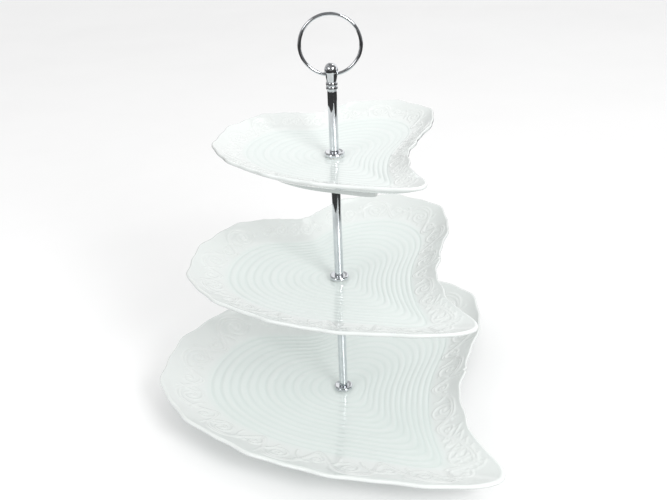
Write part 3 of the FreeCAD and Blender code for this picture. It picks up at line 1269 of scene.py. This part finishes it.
@dataclass
class FinialHead:
    """Domed head on a tapered barrel and two beads, with the ring's cross bore."""

    material: bpy.types.Material
    segments: int = 128
    collar: float = 2.4
    shoulder: float = 0.05
    shoulder_height: float = 0.1
    waist: float = 3.95
    bead: float = 4.85
    groove: float = 4.0
    bead_height: float = 3.4
    foot: float = 1.0
    foot_chamfer: tuple[float, float] = (0.2, 0.25)
    bore_rise: float = 14.0
    bore_radius: float = 1.91
    bore_sides: int = 48
    cutter_reach: float = 12.0
    stud_bore: float = 2.05
    stud_depth: float = 7.0

    def profile(self) -> np.ndarray:
        """Outline from the pole down: dome, collar, barrel, beads, foot and the stud's bore.

        The dome is a quarter circle, the barrel a straight taper, and each bead the
        power 0.8 of a sine over a half circle's spacing.

        Returns:
            Radius and height of each point, in millimetres.
        """
        radius, low, high = span("finial_head")
        quarter = np.linspace(0.0, math.pi / 2.0, 26)
        centre = high - radius
        dome = np.column_stack([radius * np.sin(quarter), centre + radius * np.cos(quarter)])
        collar_low = centre - self.collar
        collar = np.array([(radius, centre - 0.5 * self.collar), (radius, collar_low)])
        waist_low = low + self.foot + 2.0 * self.bead_height
        pace = np.linspace(0.0, 1.0, 14)[:, None]
        barrel_top = np.array([radius - self.shoulder, collar_low - self.shoulder_height])
        barrel = barrel_top + (np.array([self.waist, waist_low]) - barrel_top) * pace
        swell = np.linspace(0.0, math.pi, 15)[1:]
        beads = [
            np.column_stack([
                self.groove + (self.bead - self.groove) * np.sin(swell) ** 0.8,
                top - self.bead_height * (1.0 - np.cos(swell)) / 2.0,
            ])
            for top in (waist_low, waist_low - self.bead_height)
        ]
        inwards, upwards = self.foot_chamfer
        bore_top = low + self.stud_depth
        end = np.array([
            (self.groove, low + upwards), (self.groove - inwards, low), (self.stud_bore, low),
            (self.stud_bore, bore_top), (0.0, bore_top),
        ])
        return np.concatenate([dome, collar, barrel, *beads, end])

    def build(self) -> bpy.types.Object:
        """Turn the head, then cut the cross bore through it.

        Returns:
            The head, riding on the post.
        """
        head = Lathe(self.material, self.segments).turn("finial_head_turned", self.profile())
        self.bored(head)
        return finished(head, Body.POST, "finial_head")

    def cutter(self) -> bpy.types.Object:
        """A round bar along X at the bore's height, with its faces outwards.

        Returns:
            The bar, longer than the head is wide.
        """
        angle = np.arange(self.bore_sides) * TURN / self.bore_sides
        height = span("finial_head")[1] + self.bore_rise
        circle = np.column_stack([np.zeros(self.bore_sides), np.cos(angle), np.sin(angle)])
        middle = np.array([[0.0, 0.0, height]])
        reach = np.array([[self.cutter_reach, 0.0, 0.0]])
        rim = middle + circle * self.bore_radius
        rings = [part * MM for part in (middle - reach, rim - reach, rim + reach, middle + reach)]
        bar = Skin.of_rings(rings, False).build("bore_cutter", self.material)
        bar.data.flip_normals()
        return bar

    def bored(self, head: bpy.types.Object) -> None:
        """Cut a round bore along X through the head.

        Args:
            head: the turned head, whose mesh is replaced by the cut one.
        """
        bar = self.cutter()
        cut = head.modifiers.new("cross_bore", "BOOLEAN")
        cut.operation, cut.solver, cut.object = "DIFFERENCE", "EXACT", bar
        bpy.context.view_layer.update()
        graph = bpy.context.evaluated_depsgraph_get()
        mesh = bpy.data.meshes.new_from_object(head.evaluated_get(graph))
        head.modifiers.clear()
        head.data = mesh
        bpy.data.objects.remove(bar)
        mesh.shade_smooth()
        mesh.set_sharp_from_angle(angle=math.radians(40.0))


# ---------------------------------------------------------------- carried-over pieces


@dataclass
class SmallFittings:
    """CAD nodes that keep their own shape and take a better finish."""

    steel: bpy.types.Material
    rubber: bpy.types.Material
    steel_nodes: tuple[str, ...] = (
        "base_screw", "base_washer", "middle_stud", "top_stud", "finial_stud"
    )
    rubber_nodes: tuple[str, ...] = (
        "base_pad", "bottom_flange_pad", "middle_flange_pad", "top_flange_pad",
        "middle_under_pad", "top_under_pad",
    )

    def dress(self) -> None:
        """Put the finishes on the nodes' material slots."""
        for material, names in ((self.steel, self.steel_nodes), (self.rubber, self.rubber_nodes)):
            for name in names:
                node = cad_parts[name]
                if not node.material_slots:
                    node.data.materials.append(material)
                for slot in node.material_slots:
                    slot.material = material
                LOG.info("%s: %s", name, material.name)


# ---------------------------------------------------------------- studio


@dataclass
class Softbox:
    """A square light with its place, size in metres and power in watts."""

    name: str
    place: tuple[float, float, float]
    size: float
    power: float

    def build(self, target: Vector) -> None:
        """Hang the light and turn it to the target.

        Args:
            target: the point that it faces.
        """
        light = bpy.data.lights.new(self.name, "AREA")
        light.shape, light.size, light.energy = "SQUARE", self.size, self.power
        lamp = bpy.data.objects.new(self.name, light)
        lamp.location = self.place
        lamp.rotation_euler = (target - lamp.location).to_track_quat("-Z", "Y").to_euler()
        bpy.context.scene.collection.objects.link(lamp)


@dataclass
class ReflectedRoom:
    """Dim surroundings that only reflections see, so that the plating reads as metal.

    Each wall panel has its azimuths in degrees, 0 behind the stand and 90 to its
    right, and its glow. Lengths are metres. The ground is left pale near the stand.
    """

    reach: float = 1.7
    tall: float = 2.2
    pale_reach: float = 0.43
    pale_behind: float = 0.13
    lift: float = 0.0004
    ground_glow: float = 0.05
    ceiling_glow: float = 0.22
    panel_sides: int = 12
    circle_sides: int = 48
    panels: tuple[tuple[float, float, float], ...] = (
        (-70.0, -6.0, 0.50),
        (-6.0, 70.0, 1.05),
        (70.0, 96.0, 0.10),
        (96.0, 106.0, 0.6),
        (106.0, 150.0, 0.10),
        (150.0, 210.0, 0.25),
        (210.0, 252.0, 0.08),
        (252.0, 268.0, 0.6),
        (268.0, 290.0, 0.12),
    )

    def build(self) -> None:
        """Stand the panels in a ring between a dark ground and a dim ceiling."""
        top = np.array([0.0, 0.0, self.tall])
        side = np.arange(self.panel_sides)
        above = side + self.panel_sides + 1
        walls = np.stack([side, side + 1, above + 1, above], 1)
        for number, (first, final, glow) in enumerate(self.panels):
            turn = np.radians(np.linspace(first, final, self.panel_sides + 1))
            base = np.column_stack([np.sin(turn), np.cos(turn), np.zeros(len(turn))]) * self.reach
            self.hang(f"panel_{number}", np.concatenate([base, base + top]), walls, glow)
        near = np.arange(self.circle_sides)
        turn = near * TURN / self.circle_sides
        circle = np.column_stack([np.cos(turn), np.sin(turn), np.zeros(self.circle_sides)])
        self.hang("dim_ceiling", circle * self.reach + top, near[None], self.ceiling_glow)
        pale = circle * self.pale_reach + np.array([0.0, self.pale_behind, 0.0])
        annulus = np.concatenate([pale, circle * self.reach])
        annulus[:, 2] = self.lift
        ahead = np.roll(near, -1)
        faces = np.stack([near, near + self.circle_sides, ahead + self.circle_sides, ahead], 1)
        self.hang("dark_ground", annulus, faces, self.ground_glow)

    def hang(self, name: str, corners: np.ndarray, faces: np.ndarray, glow: float) -> None:
        """Make one panel that glows evenly and that only reflections see.

        Args:
            name: the panel's name.
            corners: its corners in metres.
            faces: the corners of each face.
            glow: its strength.
        """
        material = bpy.data.materials.new(name)
        material.use_nodes = True
        tree = material.node_tree
        light = tree.nodes.new("ShaderNodeEmission")
        light.inputs["Strength"].default_value = glow
        tree.links.new(light.outputs["Emission"], tree.nodes["Material Output"].inputs["Surface"])
        mesh = bpy.data.meshes.new(name)
        mesh.from_pydata(corners.tolist(), [], faces.tolist())
        mesh.materials.append(material)
        panel = bpy.data.objects.new(name, mesh)
        panel.visible_camera = panel.visible_diffuse = panel.visible_shadow = False
        panel.visible_transmission = False
        bpy.context.scene.collection.objects.link(panel)


@dataclass
class Studio:
    """Pale floor, soft light and the camera.

    Lengths are metres, angles degrees, and the lens and the sensor millimetres. The
    shift slides the frame by a small share of its width.
    """

    sensor: float = 36.0
    lens: float = 53.0447
    shift: tuple[float, float] = (-0.0063, -0.02204)
    pitch: float = 25.603
    roll: float = -2.26
    distance: float = 0.7911
    height: float = 0.5544
    sky: float = 0.84
    low_sky: Colour = (0.62, 0.64, 0.64)
    white_from: float = 0.12
    floor_half: float = 6.0
    floor_drop: float = 0.0002
    aim_height: float = 0.17

    def build(self) -> None:
        """Set up floor, world, lights and camera."""
        self.floor()
        self.world()
        for box in (
            Softbox("key_light", (0.80, -1.30, 1.05), 0.6, 14.0),
            Softbox("left_light", (-1.05, -1.0, 0.95), 0.6, 4.0),
            Softbox("top_light", (0.65, 0.45, 1.9), 0.6, 2.0),
        ):
            box.build(Vector((0.0, 0.0, self.aim_height)))
        ReflectedRoom().build()
        self.camera()
        settings = bpy.context.scene.view_settings
        settings.view_transform, settings.look = "Standard", "None"
        LOG.info("studio ready")

    def floor(self) -> None:
        """A wide pale plane under the foot; the plates' undersides don't see it."""
        corners = [(x * self.floor_half, y * self.floor_half, 0.0) for x, y in UNIT_SQUARE]
        mesh = bpy.data.meshes.new("floor")
        mesh.from_pydata(corners, [], [(0, 1, 2, 3)])
        mesh.materials.append(PaleFloor().material())
        floor = bpy.data.objects.new("floor", mesh)
        floor.location.z = -self.floor_drop
        floor.visible_diffuse = False
        bpy.context.scene.collection.objects.link(floor)

    def world(self) -> None:
        """Soft white surroundings, dimmer at the horizon and below it."""
        world = bpy.data.worlds.new("soft_room")
        world.use_nodes = True
        bpy.context.scene.world = world
        tree = world.node_tree
        place = tree.nodes.new("ShaderNodeTexCoord")
        split = tree.nodes.new("ShaderNodeSeparateXYZ")
        ramp = tree.nodes.new("ShaderNodeValToRGB")
        low, high = ramp.color_ramp.elements
        low.position, low.color = 0.0, (*self.low_sky, 1.0)
        high.position, high.color = self.white_from, (1.0, 1.0, 1.0, 1.0)
        tree.links.new(place.outputs["Generated"], split.inputs["Vector"])
        tree.links.new(split.outputs["Z"], ramp.inputs["Fac"])
        tree.links.new(ramp.outputs["Color"], tree.nodes["Background"].inputs["Color"])
        tree.nodes["Background"].inputs["Strength"].default_value = self.sky

    def camera(self) -> None:
        """Camera in front of the stand, looking down, rolled a little."""
        data = bpy.data.cameras.new("camera")
        data.sensor_width, data.lens = self.sensor, self.lens
        data.shift_x, data.shift_y = self.shift
        pitch, roll = math.radians(self.pitch), math.radians(self.roll)
        right, up = Vector((1.0, 0.0, 0.0)), Vector((0.0, math.sin(pitch), math.cos(pitch)))
        forward = Vector((0.0, math.cos(pitch), -math.sin(pitch)))
        rolled_right = right * math.cos(roll) + up * math.sin(roll)
        rolled_up = up * math.cos(roll) - right * math.sin(roll)
        turn = Matrix((rolled_right, rolled_up, -forward)).transposed()
        camera = bpy.data.objects.new("camera", data)
        camera.matrix_world = Matrix.Translation((0.0, -self.distance, self.height)) @ turn.to_4x4()
        bpy.context.scene.collection.objects.link(camera)
        bpy.context.scene.camera = camera


def main() -> None:
    """Build the stand piece by piece, then the studio; each new piece's corner count goes to the log."""
    logging.basicConfig(level=logging.INFO, format="%(name)s %(message)s")
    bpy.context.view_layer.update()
    outline = HeartOutline()
    scrolls = ScrollRelief(outline)
    glaze = PorcelainGlaze().material()
    chrome = ChromePlate().material()
    plates = (
        HeartPlate(Tier.BOTTOM, outline, scrolls, 358.0, turn=-6.0, well_rise=8.2, rim_rise=25.4, rakes=15),
        HeartPlate(Tier.MIDDLE, outline, scrolls, 281.0, turn=-2.0, well_rise=6.4, rim_rise=20.0, rakes=14),
        HeartPlate(Tier.TOP, outline, scrolls, 215.0, turn=-10.0, well_rise=4.9, rim_rise=15.3, rakes=11),
    )
    for plate in plates:
        plate.build(glaze)
    PostWork(chrome).build()
    FinialHead(chrome).build()
    RingHandle(chrome).build()
    SmallFittings(TurnedSteel().material(), SoftPad().material()).dress()
    Studio().build()


if __name__ == "__main__":
    main()
